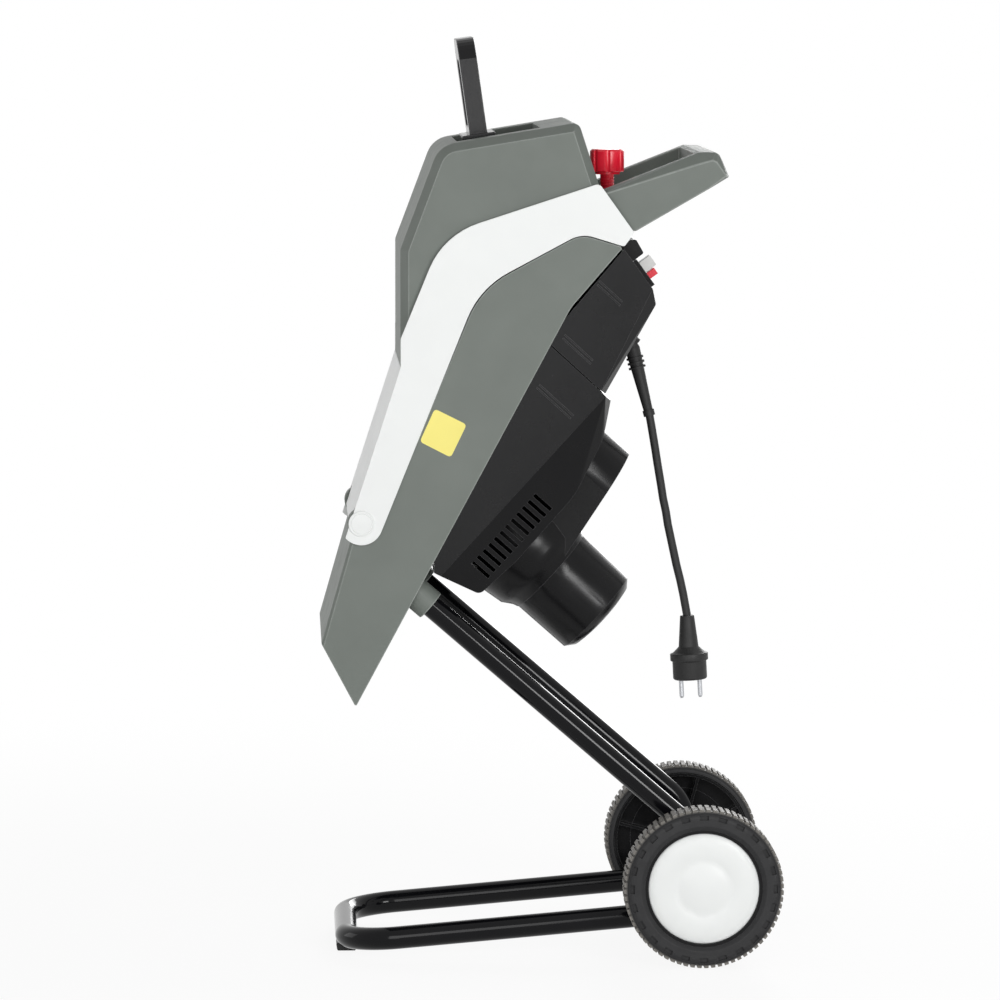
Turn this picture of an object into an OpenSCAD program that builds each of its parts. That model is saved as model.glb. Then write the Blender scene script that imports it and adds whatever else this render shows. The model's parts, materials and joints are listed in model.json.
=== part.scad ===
// Electric garden shredder on a wheeled tube stand.
// Millimetres, +X to the rear, +Y to the right side, +Z up, floor at z = 0.

/* [Wheels and axle] */
// Outer diameter of a wheel over its tread
wheel_d = 160; // [150:1:170]
// Width of a tyre
wheel_w = 42; // [38:1:50]
// Distance between the middles of the two wheels
track = 360; // [350:1:380]
// Distance of the axle behind the middle of the machine
axle_x = 151; // [140:1:160]
// Diameter of the axle rod
axle_d = 12; // [10:0.5:14]
// Diameter of the rim where the tyre sits on it
rim_d = 118; // [114:1:122]
// Diameter of the white hub cap
hub_cap_d = 111; // [104:1:112]
// Height of the tread lugs
lug_h = 2; // [1.5:0.5:4]
// Number of lugs round the tread
lug_count = 72; // [60:1:84]

/* [Tube stand] */
// Outer diameter of the steel tube
tube_d = 23; // [20:0.5:25]
// Wall of the steel tube
tube_wall = 1.5; // [1:0.1:2.5]
// Distance between the middles of the left and right tubes
tube_gauge = 248; // [236:1:252]
// Middle of the front cross tube, ahead of the middle of the machine
front_reach = 205.5; // [195:0.5:215]
// Rise of the base tubes towards the rear, in degrees
base_tilt = 5; // [4:0.1:6]
// Slope of the upright tubes, in degrees from level
upright_tilt = 40.8; // [39:0.1:43]
// Straight length of an upright from its bend to its socket
upright_l = 338; // [320:1:360]
// Middle radius of the rear bends
rear_bend_r = 53.5; // [48:0.5:60]
// Middle radius of the front corners
corner_r = 53; // [45:1:65]

/* [Lower body] */
// Width of the grey lower shell
shell_w = 300; // [290:1:306]
// Wall of the plastic shells
wall = 3.5; // [2.5:0.5:4.5]
// Slope of the cutter plane, in degrees from level
head_tilt = 47.5; // [46:0.5:49]
// Diameter of the hinge pins
hinge_pin_d = 14; // [10:0.5:16]
// Diameter of the sockets that take the uprights
socket_d = 32; // [29:0.5:34]
// Number of vent slots in each side of the motor housing
vent_count = 12; // [8:1:13]
// Width of one vent slot
vent_w = 3.8; // [2.5:0.1:4.5]
// Diameter of the round motor pot
motor_pot_d = 97; // [94:0.5:99]
// Depth of the motor pot's end behind the hinge plane
motor_pot_depth = 249; // [244:1:256]

/* [Hopper] */
// Width of the hopper
hopper_w = 300; // [290:1:306]
// Width of the slanted edge round the hopper's sides
hopper_bevel = 8; // [5:0.5:11]
// Thickness of the white side arms
arm_t = 5.5; // [4:0.5:7]
// Gap between the lower shell and the hopper above it
seam_gap = 2; // [1.5:0.5:3]
// Width of the feed throat, front to rear
throat_l = 56; // [50:1:58]
// Width of the feed throat, side to side
throat_w = 124; // [112:1:130]
// Height of the plunger's grip above the hopper top
grip_h = 101.5; // [90:0.5:110]
// Thickness of the plunger's grip
grip_t = 18; // [15:0.5:22]
// Diameter of the red locking knob
knob_d = 35; // [30:0.5:40]
// Height of the red locking knob
knob_h = 23; // [18:0.5:25]
// Diameter of the locking screw
screw_d = 14; // [12:0.5:15]

/* [Cutter and drive] */
// Diameter of the cutter disc
disc_d = 212; // [200:1:214]
// Thickness of the cutter disc
disc_t = 8; // [6:0.5:9]
// Diameter of the cutter spindle
spindle_d = 20; // [17:1:22]
// Outer diameter of the spindle bearings
bearing_d = 47; // [44:1:50]
// Diameter of the spindle pulley
spindle_pulley_d = 88; // [80:1:92]
// Diameter of the motor pulley
motor_pulley_d = 22; // [20:0.5:25]
// Thickness of the drive belt
belt_t = 4; // [3:0.5:5]
// Width of the drive belt
belt_w = 14; // [10:1:15]
// Diameter of the armature core
armature_d = 52; // [46:1:54]
// Diameter of the motor shaft
motor_shaft_d = 10; // [8:1:12]

/* [Switch and cord] */
// Width of the two push buttons
button_w = 18; // [14:1:20]
// Diameter of the mains lead
cord_d = 8.5; // [7:0.5:9]
// Diameter of a plug pin
plug_pin_d = 4.8; // [4:0.1:5]

/* [Hidden] */
$fn = 64;

// Clearances
run_fit = 0.05;
press_fit = 0.02;
side_gap = 0.3;
cut = 1;

// Colours
grey = [0.36, 0.39, 0.36];
white = [0.93, 0.94, 0.93];
black = [0.06, 0.06, 0.065];
rubber = [0.10, 0.10, 0.10];
red = [0.80, 0.05, 0.10];
steel = [0.62, 0.63, 0.65];
copper = [0.72, 0.40, 0.20];
brass = [0.80, 0.66, 0.32];
clear_white = [0.88, 0.88, 0.84];

// Rounded outlines
function unit(v) = v / norm(v);
function flat(p) = [p[0], p[1]];
function turn(a, b) = (b - a + 540) % 360 - 180;
function arc(c, r, a0, a1, n) = [
    for (i = [0:n])
        let (a = a0 + (a1 - a0) * i / n) c + r * [cos(a), sin(a)]
];
// One corner [x, y, radius] between its two neighbours, as points
function corner(a, p, b, n) =
    let (r = p[2], u = unit(flat(a) - flat(p)), v = unit(flat(b) - flat(p)), half = acos(u * v) / 2)
    let (m = flat(p) + unit(u + v) * r / sin(half))
    let (s = flat(p) + u * r / tan(half) - m, e = flat(p) + v * r / tan(half) - m)
    let (a0 = atan2(s[1], s[0]))
    arc(m, r, a0, a0 + turn(a0, atan2(e[1], e[0])), n);
// Closed outline of corners [x, y, radius], with an arc at each corner that has a radius
function rounded(c, n = 8) = [
    for (i = [0:len(c) - 1])
        let (a = c[(i + len(c) - 1) % len(c)], b = c[(i + 1) % len(c)])
        each (c[i][2] > 0 ? corner(a, c[i], b, n) : [flat(c[i])])
];

// Stand, in the side plane [x, z]
axle_z = wheel_d / 2;
tube_y = tube_gauge / 2;
// Angle of the axle below the middle of the rear bend
axle_below = 18.7;
bend_mid = [axle_x - rear_bend_r * cos(axle_below), axle_z + rear_bend_r * sin(axle_below)];
base_start = bend_mid + rear_bend_r * [sin(base_tilt), -cos(base_tilt)];
base_l = (base_start[0] + front_reach) / cos(base_tilt) - corner_r;
front_z = base_start[1] - (base_start[0] + front_reach) * tan(base_tilt);
upright_dir = [-cos(upright_tilt), sin(upright_tilt)];
upright_start = bend_mid + rear_bend_r * [sin(upright_tilt), cos(upright_tilt)];
socket_mouth = upright_start + upright_l * upright_dir;
// The uprights are this much thinner than their bends, and start this far inside them
joint_step = 0.4;
joint_in = 0.5;
// Length of tube inside its socket
socket_depth = 26;
socket_l = socket_depth + 6;
// Hinge axis of the hopper, measured from the socket mouth
hinge = socket_mouth + [-70, 85.5];
foot_l = 34;
foot_t = 28;
foot_y = tube_y - corner_r - foot_l / 2;

// Wheels, along the axle from the middle of the wheel outwards
hub_out = 8;
clip_t = 1.5;
axle_half = track / 2 + hub_out + clip_t + 3;
hub_d = axle_d + 16;
rim_lip = 17;
cap_seat = 14;
tyre_side_d = wheel_d - 2 * lug_h;
// Hollow inner side of the wheel and its web
barrel_r = tyre_side_d / 2 - 7;
web_top = 4;

// Points of the head: s along the cutter plane from the hinge, h square to it towards the hopper
function head_pt(s, h) =
    [s * cos(head_tilt) - h * sin(head_tilt), s * sin(head_tilt) + h * cos(head_tilt)];
deck_t = 4;
deck_low = 72;
deck_high = 345;
spindle_s = 185;
motor_s = 87;

// Side outlines from the hinge axis, as corners [x, z, radius]
chute_tip = [-6, -185, 1.5];
chute_lip = [-40.4, -121, 3];
chute_front = [-10.4, -16, 1];
rear_knee = [210, 216, 60];
rear_top = [262, 276, 2];
arch_top = [220, 289, 30];
arch_knee = [119.5, 234.6, 90];
arch_foot = [40, 43, 8];
chute_corners = [chute_front, chute_lip, chute_tip, rear_knee, rear_top, arch_top, arch_knee, arch_foot,
    [12, 30, 10], [3, -8, 4]];
front_slope = atan2(chute_front[0] - chute_lip[0], chute_front[1] - chute_lip[1]);
front_bevel = 3;
rear_dir = unit(flat(rear_knee) - flat(chute_tip));
rear_inside = [-rear_dir[1], rear_dir[0]];
floor_foot = flat(chute_tip) + 146 * rear_dir;

// White front between the arms: it leans back, and passes this far ahead of the hinge axis
arm_lean = 72;
front_in = 10.75;
// A point of the white front, l up along it from the foot of the hinge axis
function front_pt(l, t = 0) =
    (front_in - t) * [-sin(arm_lean), cos(arm_lean)] + l * [cos(arm_lean), sin(arm_lean)];
hopper_front = 39.5;
front_l = (hopper_front + front_in * sin(arm_lean)) / cos(arm_lean);
front_top = front_pt(front_l);
cover_low = -7;
cover_gap = 0.6;
// Bosses of the hinge pins
boss_r = hinge_pin_d / 2 + 7;
boss_l = 22;
boss_gap = 2;

// Side arm outline: round end at the hinge, then up to the handle
arm_r = 21.5;
arm_in = max(shell_w, hopper_w) / 2 + side_gap;
arch_lean = atan2(arch_knee[1] - arch_foot[1], arch_knee[0] - arch_foot[0]);
arm_gap = 1.2;
arm_arc = 90 + arm_lean + acos(front_in / arm_r);
arm_corners = concat(
    [for (p = arc([0, 0], arm_r, arm_arc, 270 + arch_lean, 14)) [p[0], p[1], 0]],
    [[arch_knee[0] - arm_gap, arch_knee[1] + arm_gap, 90], [arch_top[0], arch_top[1] + arm_gap, 30],
     [263, 277, 3], [273, 291, 3], [238, 340, 6], [82, 289, 80], [hopper_front, 185, 10],
     [hopper_front, front_top[1], 0]]);

// Hopper outline and its feed axis
feed_tilt = 8;
feed = [121, 383.2];
rear_wall_top = [238, 338];
rear_wall_low = [253, 293];
// Corners of the hopper; low is the depth of its open underside below the sides' lower edge
function hopper_outline(low) = [
    [hopper_front, front_top[1] - low, 0], [hopper_front, 273.6, 12], [78.6, 377.5, 27], [218.1, 400.5, 8],
    [rear_wall_low[0], rear_wall_low[1], 0], [255, 268 - low, 0]
];
hopper_skin = 12;
shelf_top = 326;
shelf_low = 281;
shelf_half = 111;
throat_top = 90;
mouth_front = throat_l / 2;
mouth_rear = 72;
mouth_w = 216;
// Lip turned down round the mouth, inside the funnel's rim
lip_h = 12;
lip_in = 7.5;
lip_gap = 0.5;
throat_wall = 3;
// The funnel's rim hangs this far below the hopper's top wall
funnel_drop = 0.8;
disc_gap = 8;
blade_t = 4;
disc_top = disc_gap + disc_t;
throat_end = disc_top + blade_t + 5;
paddle_gap = 5;

// Locking screw, upright behind the hopper
knob_x = 253.5;
knob_z = 347;
screw_tip = 281.5;
screw_gap = 0.5;
lock_gap = 0.7;
knob_room = 2;
washer_t = 2.2;
lock_r = screw_d / 2 + 4;
lock_top = 278;

// Motor housing outline in head points [s, h, radius]
seam_s = 259;
house_half = shell_w / 2 - wall - 0.5;
crease_h = -95;
belly_in = 18;
rib_h = 1;
function motor_upper(t, front) = [
    [12 + t, -88, 0], [30 + t, -72 + front, 0], [seam_s - t, -15 + front, 0], [seam_s - t, crease_h, 0],
    [14 + t, crease_h, 0]
];
function motor_belly(t, front) = [
    [12 + t, -88, 0], [30 + t, -72 + front, 0], [seam_s - t, -15 + front, 0], [seam_s - t, -103 + t / 2, 0],
    [225, -124 + t, 60], [165, -141 + t, 80], [75, -142.5 + t, 40], [26 + t, -138 + t, 8]
];
pot_r = motor_pot_d / 2;
pot_in = pot_r - 3;
pot_dome = 10;
pot_top = -96;
// Round neck under the spindle, cut off by a slanted plane
neck_r = 46;
neck_end = -171.2;
neck_slope = 0.159;
// Collar where the pot leaves the belly, as [radius beyond the pot, h]
collar = [[12.5, -151], [10, -170.6], [3.5, -181], [2, -186]];
// Vent slots in the belly's sides
vent_first = 45.5;
vent_pitch = 8.36;
vent_mid = -121.2;
vent_l = 23.5;

// Switch housing outline in head points
switch_in = 13;
function switch_side(t, front) = [
    [seam_s + 1 + t, -15 + front, 0], [300, -12 + front, 0], [380 - t, -9 + front, 0], [370 - t, -57, 0],
    [353 - t, -61.5, 0], [seam_s + 1 + t, -88, 0]
];
function switch_rear(t, front) = [
    [seam_s + 1 + t, -15 + front, 0], [300, -12 + front, 0], [380 - t, -9 + front, 0], [370 - t, -58, 0],
    [361 - t, -71 + t, 6], [333, -76.5 + t, 0], [seam_s + 1 + t, -94 + t, 0]
];
hood_half = 44;
hood = [[374, -9, 0], [386, -10, 2], [396, -18, 3], [391, -33.5, 2], [372, -30, 0]];
// End wall of the switch housing and the switch panel's middle on it
end_top = [380, -9];
end_low = [370, -58];
panel_tilt = atan2(end_top[0] - end_low[0], end_top[1] - end_low[1]);
panel = end_low + 9.5 * [sin(panel_tilt), cos(panel_tilt)];
panel_l = 32;
panel_w = button_w + 12;
panel_h = 6.5;
panel_in = 8;
start_l = 12;
stop_l = 7;
button_mid = 1.5;
button_gap = 0.4;
start_h = 20;
stop_h = 16;
button_foot = 4;
button_rim = 1;
button_deep = 3;

// Drive line, heights along h
bearing_t = 14;
carrier_flange_d = 88;
carrier_flange_t = 6;
carrier_d = bearing_d + 11;
carrier_end = -48;
bolt_ring_r = 37;
bolt_d = 6;
belt_h = -72;
pulley_w = 17;
belt_run = 0.3;
spindle_end = -84;

// Motor, heights along h
stator_top = -140;
stator_end = 49 - motor_pot_depth;
stator_bore = armature_d + 2;
coil_h = 11;
bracket_top = -100;
bracket_t = 12;
motor_bearing_d = 30;
motor_bearing_t = 9;
fan_h = 9;
fan_d = 80;
commutator_d = 28;
commutator_top = 33 - motor_pot_depth;
commutator_l = 20;

// Lead: points of its middle line, from the boot to the plug
cord_route = [
    [107, 0, 541], [109, 0, 530], [111, 0, 518], [113, 0, 506], [115, 0, 493], [117, 0, 481], [119, 0, 469],
    [121, 0, 456], [124, 0, 442], [126, 0, 429], [129, 0, 415], [132, 0, 401], [135, 0, 387], [139, 0, 371],
    [142, 0, 357], [144, 0, 346], [146, 0, 335]
];
cord_sides = 10;
boot_s = 313;
boot_start = head_pt(boot_s - 2, -95);
boot_r = 7.7;
boot_end_r = 4.8;
boot_foot_r = boot_r + 3;
boot_foot_h = -77;
boot_foot_l = 17;
collar_l = 6;
plug_tip = [150.5, 0, 250];
plug_sleeve_l = 38;
plug_flange_d = 39;
plug_flange_t = 8;
plug_body_d = 35;
plug_body_l = 20;
plug_pin_gap = 19;
plug_pin_l = 19;

// Places
module at_hinge() {
    translate([hinge[0], 0, hinge[1]]) children();
}
module head() {
    at_hinge() rotate([0, -head_tilt, 0]) children();
}
module at_feed() {
    at_hinge() translate([feed[0], 0, feed[1]]) rotate([0, -feed_tilt, 0]) children();
}
module at_spindle() {
    head() translate([spindle_s, 0, 0]) children();
}
module at_motor() {
    head() translate([motor_s, 0, 0]) children();
}
module at_panel() {
    head() translate([panel[0], 0, panel[1]]) rotate([0, 90 + panel_tilt, 0]) children();
}
// A side outline as a plate across the machine
module slab(w) {
    rotate([90, 0, 0]) linear_extrude(w, center = true) children();
}
// Both sides
module pair() {
    children();
    mirror([0, 1, 0]) children();
}
// From p, with +Z towards q, both [x, z]
module along(p, q) {
    translate([p[0], 0, p[1]]) rotate([0, atan2(q[0] - p[0], q[1] - p[1]), 0]) children();
}
module ring(r_out, r_in, h0, h1) {
    translate([0, 0, h0]) difference() {
        cylinder(r = r_out, h = h1 - h0);
        translate([0, 0, -cut]) cylinder(r = r_in, h = h1 - h0 + 2 * cut);
    }
}
module rod(r, h0, h1) {
    translate([0, 0, h0]) cylinder(r = r, h = h1 - h0);
}

// Tube stand
// The bent path of the stand at one diameter; over lengthens its open ends
module stand_path(d, over) {
    bend = 180 - base_tilt - upright_tilt;
    pair() translate([bend_mid[0], tube_y, bend_mid[1]]) rotate([90, 0, 0]) rotate([0, 0, base_tilt - 90]) {
        rotate_extrude(angle = bend) translate([rear_bend_r, 0]) circle(d = d);
        rotate([0, 0, bend]) translate([rear_bend_r, -joint_in, 0]) rotate([-90, 0, 0])
            cylinder(d = d - joint_step, h = joint_in + upright_l + socket_depth + over);
    }
    translate([base_start[0], 0, base_start[1]]) rotate([0, -base_tilt, 0]) {
        pair() {
            translate([-base_l, tube_y, 0]) rotate([0, 90, 0]) cylinder(d = d, h = base_l);
            translate([-base_l, tube_y - corner_r, 0]) rotate([0, 0, 90])
                rotate_extrude(angle = 90) translate([corner_r, 0]) circle(d = d);
        }
        translate([-base_l - corner_r, corner_r - tube_y, 0]) rotate([-90, 0, 0])
            cylinder(d = d, h = 2 * (tube_y - corner_r));
    }
}
module axle_rod(r, y0, y1) {
    translate([axle_x, y0, axle_z]) rotate([-90, 0, 0]) cylinder(r = r, h = y1 - y0);
}
module frame_tube() {
    color(black) difference() {
        stand_path(tube_d, 0);
        stand_path(tube_d - 2 * tube_wall, cut);
        axle_rod(axle_d / 2 + run_fit, -tube_gauge, tube_gauge);
    }
}
module front_feet() {
    color(rubber) pair() difference() {
        translate([-front_reach - foot_t / 2, foot_y - foot_l / 2, 0]) cube([foot_t, foot_l, front_z - 2]);
        translate([-front_reach, 0, front_z]) rotate([-90, 0, 0])
            cylinder(d = tube_d + 2 * run_fit, h = tube_gauge);
    }
}
module wheel_axle() {
    color(steel) axle_rod(axle_d / 2, -axle_half, axle_half);
}
module axle_spacers() {
    color(black) pair() difference() {
        axle_rod(axle_d / 2 + 4, tube_y + tube_d / 2 + side_gap, track / 2 - wheel_w / 2 - side_gap);
        axle_rod(axle_d / 2 + run_fit, 0, track);
    }
}
module axle_clips() {
    color(steel) pair() difference() {
        axle_rod(axle_d / 2 + 4, track / 2 + hub_out + side_gap, track / 2 + hub_out + side_gap + clip_t);
        axle_rod(axle_d / 2 + press_fit, 0, track);
    }
}

// Wheels, drawn with +Z along the axle away from the machine
module at_wheel(side) {
    translate([axle_x, side * track / 2, axle_z]) rotate([-90 * side, 0, 0]) children();
}
module lugs(z0, z1) {
    r0 = tyre_side_d / 2 - 1;
    r1 = wheel_d / 2;
    pitch = 360 / lug_count;
    translate([0, 0, z0]) linear_extrude(z1 - z0) difference() {
        polygon([for (i = [0:lug_count - 1], c = [[0, r0], [0.07, r1], [0.66, r1], [0.73, r0]])
            c[1] * [cos((i + c[0]) * pitch), sin((i + c[0]) * pitch)]]);
        circle(r = barrel_r + 2);
    }
}
module tyre() {
    half = wheel_w / 2;
    side_r = tyre_side_d / 2;
    difference() {
        union() {
            rotate_extrude() polygon(rounded([
                [rim_d / 2 + press_fit, web_top, 0], [rim_d / 2 + press_fit, half - 3, 0],
                [rim_d / 2 + 4, half, 2], [side_r - 4, half, 6], [side_r, half - 5, 3],
                [side_r, -half + 4, 3], [side_r - 3, -half, 2], [barrel_r + 1, -half, 0],
                [barrel_r + press_fit, -half + 2, 0], [barrel_r + press_fit, web_top, 0]], 4));
            lugs(-half + 2, half - 3);
        }
        for (i = [0:23]) rotate([0, 0, i * 15])
            translate([side_r - 8.5, -4.3, half - 3]) cube([4.4, 8.6, 4]);
    }
}
module rim() {
    half = wheel_w / 2;
    ring_in = rim_d / 2 - 6;
    web_low = web_top - 3;
    difference() {
        union() {
            rotate_extrude() polygon([
                [barrel_r - 3, -half + 1], [barrel_r, -half + 1], [barrel_r, web_top - press_fit],
                [rim_d / 2, web_top - press_fit], [rim_d / 2, rim_lip], [hub_cap_d / 2 + side_gap, rim_lip],
                [hub_cap_d / 2 + side_gap, cap_seat], [ring_in, cap_seat], [ring_in, web_low],
                [barrel_r - 3, web_low]]);
            ring(ring_in + 1, axle_d / 2 + 2, web_low + 0.5, web_top);
            rod(hub_d / 2, -half, hub_out);
            for (i = [0:7]) rotate([0, 0, i * 45 + 15]) translate([hub_d / 2 - 1, -1.5, -half + 4])
                cube([barrel_r - hub_d / 2 - 1, 3, web_low + half - 3]);
        }
        rod(axle_d / 2 + run_fit, -half - cut, hub_out + cut);
    }
}
module hub_cap() {
    r = hub_cap_d / 2;
    translate([0, 0, cap_seat]) rotate_extrude() polygon([[0, 3.5], [0, 5.8], [22, 5.5], [24, 4.6], [30, 4.5],
        [32, 5.3], [r - 8, 4.2], [r - 2, 3], [r, 1.5], [r, press_fit], [r - 4, press_fit], [r - 8, 2]]);
}
module left_tyre() {
    color(rubber) at_wheel(-1) tyre();
}
module left_rim() {
    color(black) at_wheel(-1) rim();
}
module left_hub_cap() {
    color(white) at_wheel(-1) hub_cap();
}
module right_tyre() {
    color(rubber) at_wheel(1) tyre();
}
module right_rim() {
    color(black) at_wheel(1) rim();
}
module right_hub_cap() {
    color(white) at_wheel(1) hub_cap();
}

// Lower body
module at_socket() {
    translate([0, tube_y, 0]) along(socket_mouth, socket_mouth + upright_dir) children();
}
module leg_sockets() {
    color(grey) pair() at_socket() difference() {
        rod(socket_d / 2, 0, socket_l);
        rod((tube_d - joint_step) / 2 + run_fit, -cut, socket_depth + side_gap);
    }
}
module chute_outline() {
    polygon(rounded(chute_corners));
}
// Plan of the lower shell across its front edge, with both front corners cut
module front_plan() {
    half = shell_w / 2;
    polygon([[0, front_bevel - half], [front_bevel, -half], [500, -half], [500, half], [front_bevel, half],
        [0, half - front_bevel]]);
}
module along_front() {
    translate([chute_front[0], 0, chute_front[1]]) rotate([0, front_slope, 0]) translate([0, 0, -350])
        linear_extrude(800) children();
}
// Space above the deck and down the chute
module chute_channel() {
    foot = floor_foot + wall * rear_inside;
    low = flat(chute_tip) - 20 * rear_dir + wall * rear_inside;
    intersection() {
        slab(shell_w - 2 * wall) polygon([low, foot, head_pt(deck_low, 0), head_pt(deck_high, 0),
            head_pt(deck_high, 90), [-80, 320], [-80, low[1]]]);
        along_front() offset(delta = -wall) front_plan();
    }
}
// Space behind the deck, which the motor and switch housings close
module drive_bay() {
    slab(shell_w - 2 * wall) polygon([floor_foot + [4, 2], head_pt(deck_low + 4, -deck_t),
        head_pt(deck_high, -deck_t), head_pt(deck_high, -110), [400, floor_foot[1] + 2]]);
}
module hinge_rod(r, y0, y1) {
    translate([0, y0, 0]) rotate([-90, 0, 0]) cylinder(r = r, h = y1 - y0);
}
module chute_shell() {
    half = shell_w / 2;
    color(grey) difference() {
        at_hinge() difference() {
            union() {
                difference() {
                    intersection() {
                        slab(shell_w) chute_outline();
                        along_front() front_plan();
                    }
                    chute_channel();
                    drive_bay();
                }
                pair() hinge_rod(boss_r, half - boss_l, half - 1);
                translate([knob_x, 0, 0]) rod(lock_r, 240, lock_top);
            }
            hinge_rod(hinge_pin_d / 2 + run_fit, -half - cut, half + cut);
            translate([knob_x, 0, 0]) rod(screw_d / 2 + lock_gap, 250, 300);
        }
        pair() at_socket() rod(socket_d / 2 + press_fit, -20, socket_l + 20);
        at_spindle() {
            rod(spindle_d / 2 + 4, -deck_t - cut, cut);
            carrier_holes(bolt_d / 2 + run_fit);
        }
    }
}
// The housings' fat form: a wide plate above the crease blended into a narrower belly
module blend(upper, belly, half, inset) {
    hull() {
        slab(2 * half) polygon(rounded(upper));
        slab(2 * (half - inset)) polygon(rounded(belly));
    }
}
module neck(r, lift) {
    intersection() {
        translate([motor_s, 0, -200]) linear_extrude(90) {
            translate([spindle_s - motor_s, 0]) circle(r = r);
            translate([0, -r]) square([spindle_s - motor_s, 2 * r]);
        }
        slab(200) polygon([[0, neck_end + lift - neck_slope * spindle_s],
            [300, neck_end + lift + neck_slope * (300 - spindle_s)], [300, -100], [0, -100]]);
    }
}
// Collar round the pot, t inside its outer face
module pot_collar(t) {
    side = [for (c = collar) [pot_r + c[0] - t, c[1] + t]];
    translate([motor_s, 0, 0]) rotate_extrude()
        polygon(concat([[0, -110], [side[0][0], -110]], side, [[0, side[3][1]]]));
}
module vent_slots() {
    pair() for (i = [0:vent_count - 1]) translate([vent_first + vent_pitch * i, house_half - 6, vent_mid])
        cube([vent_w, 60, vent_l], center = true);
}
module motor_housing() {
    end = -motor_pot_depth;
    pot = [[0, end - pot_dome], [pot_r - 20, end - pot_dome + 0.8], [pot_r - 8.5, end - 7], [pot_r, end],
        [pot_r + 1.2, collar[3][1]], [pot_r + 1.2, pot_top], [0, pot_top]];
    hollow = [[0, end - pot_dome + 3], [pot_r - 21, end - pot_dome + 3.5], [pot_in, end + 2],
        [pot_in, pot_top + cut], [0, pot_top + cut]];
    color(black) head() difference() {
        union() {
            difference() {
                union() {
                    blend(motor_upper(0, 0), motor_belly(0, 0), house_half, belly_in);
                    neck(neck_r, 0);
                    pot_collar(0);
                }
                blend(motor_upper(3, 40), motor_belly(3, 40), house_half - 3, belly_in);
                neck(neck_r - 3, 3);
                pot_collar(3);
                vent_slots();
            }
            translate([motor_s, 0, 0]) rotate_extrude() polygon(pot);
            for (s = [218, 222]) pair() translate([s, house_half - 1, -84]) cube([1.5, 1 + rib_h, 46]);
        }
        translate([motor_s, 0, 0]) difference() {
            rotate_extrude() polygon(hollow);
            ring(motor_bearing_d / 2 + 4, motor_bearing_d / 2 + run_fit, end - pot_dome, end + 4);
        }
    }
}
module switch_housing() {
    color(black) head() difference() {
        union() {
            blend(switch_side(0, 0), switch_rear(0, 0), house_half, switch_in);
            slab(2 * hood_half) polygon(rounded(hood, 4));
            for (r = [[272, -62, 38], [276, -61, 38], [335, -44, 31], [339, -43, 31]]) pair()
                translate([r[0], house_half - 1, r[1]]) cube([1.5, 1 + rib_h, r[2]]);
        }
        blend(switch_side(3, 40), switch_rear(3, 40), house_half - 3, switch_in);
        translate([panel[0], 0, panel[1]]) rotate([0, 90 + panel_tilt, 0])
            translate([-panel_l / 2 + 2 - side_gap, -panel_w / 2 + 2 - side_gap, -panel_in])
                cube([panel_l - 4 + 2 * side_gap, panel_w - 4 + 2 * side_gap, 2 * panel_in]);
        translate([boot_s, 0, 0]) rod(boot_foot_r + press_fit, -120, -60);
        rotate([0, head_tilt, 0]) translate([knob_x, 0, 0]) rod(lock_r + side_gap, 200, lock_top + 4);
    }
}
// Push buttons, drawn with +Z out of the switch panel and +X down along it
module button(x, l, top) {
    translate([x, -button_w / 2, button_foot]) cube([l, button_w, top - button_foot]);
    translate([x, -button_w / 2 - button_rim, button_foot - 2]) cube([l, button_w + 2 * button_rim, 2]);
}
start_x = button_mid - 0.6 - start_l;
stop_x = button_mid + 0.6;
module switch_frame() {
    color(black) at_panel() difference() {
        union() {
            translate([-panel_l / 2, -panel_w / 2, side_gap]) cube([panel_l, panel_w, panel_h - side_gap]);
            translate([-panel_l / 2 + 2, -panel_w / 2 + 2, -panel_in])
                cube([panel_l - 4, panel_w - 4, panel_in + 1]);
        }
        for (b = [[start_x, start_l], [stop_x, stop_l]]) {
            translate([b[0] - button_gap, -button_w / 2 - button_gap, -button_deep])
                cube([b[1] + 2 * button_gap, button_w + 2 * button_gap, 20]);
        }
        translate([start_x - button_gap, -button_w / 2 - button_rim - button_gap, -button_deep])
            cube([stop_x + stop_l - start_x + 2 * button_gap, button_w + 2 * (button_rim + button_gap),
                button_deep + button_foot + side_gap]);
    }
}
module start_button() {
    color(clear_white) at_panel() button(start_x, start_l, start_h);
}
module stop_button() {
    color(red) at_panel() button(stop_x, stop_l, stop_h);
}

// Lead
function cord_tangent(i) = unit(cord_route[min(i + 1, len(cord_route) - 1)] - cord_route[max(i - 1, 0)]);
module swept(route, r, sides) {
    n = len(route);
    rings = [for (i = [0:n - 1], k = [0:sides - 1]) let (t = cord_tangent(i), a = 360 * k / sides)
        route[i] + r * (cos(a) * [t[2], 0, -t[0]] + sin(a) * [0, 1, 0])];
    sides_f = [for (i = [0:n - 2], k = [0:sides - 1])
        let (a = i * sides + k, b = i * sides + (k + 1) % sides) [a, b, b + sides, a + sides]];
    start_f = [for (k = [sides - 1:-1:0]) k];
    end_f = [for (k = [0:sides - 1]) (n - 1) * sides + k];
    polyhedron(rings, concat([start_f, end_f], sides_f));
}
module cord_boot() {
    start = hinge + boot_start;
    end = [cord_route[0][0], cord_route[0][2]];
    l = norm(end - start);
    color(black) {
        along(start, end) {
            cylinder(r1 = boot_r, r2 = boot_end_r, h = l - collar_l);
            rod(boot_end_r + 1.2, l - collar_l, l);
            for (z = [8, 13, 18]) rod(boot_r + 1.2, z, z + 2);
            sphere(r = boot_r);
        }
        along(hinge + head_pt(boot_s, boot_foot_h), hinge + head_pt(boot_s, boot_foot_h - 1))
            rod(boot_foot_r, 0, boot_foot_l);
    }
}
module cord() {
    color(black) swept(cord_route, cord_d / 2, cord_sides);
}
module at_plug() {
    e = cord_route[len(cord_route) - 1];
    along([e[0], e[2]], [plug_tip[0], plug_tip[2]]) children();
}
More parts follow.
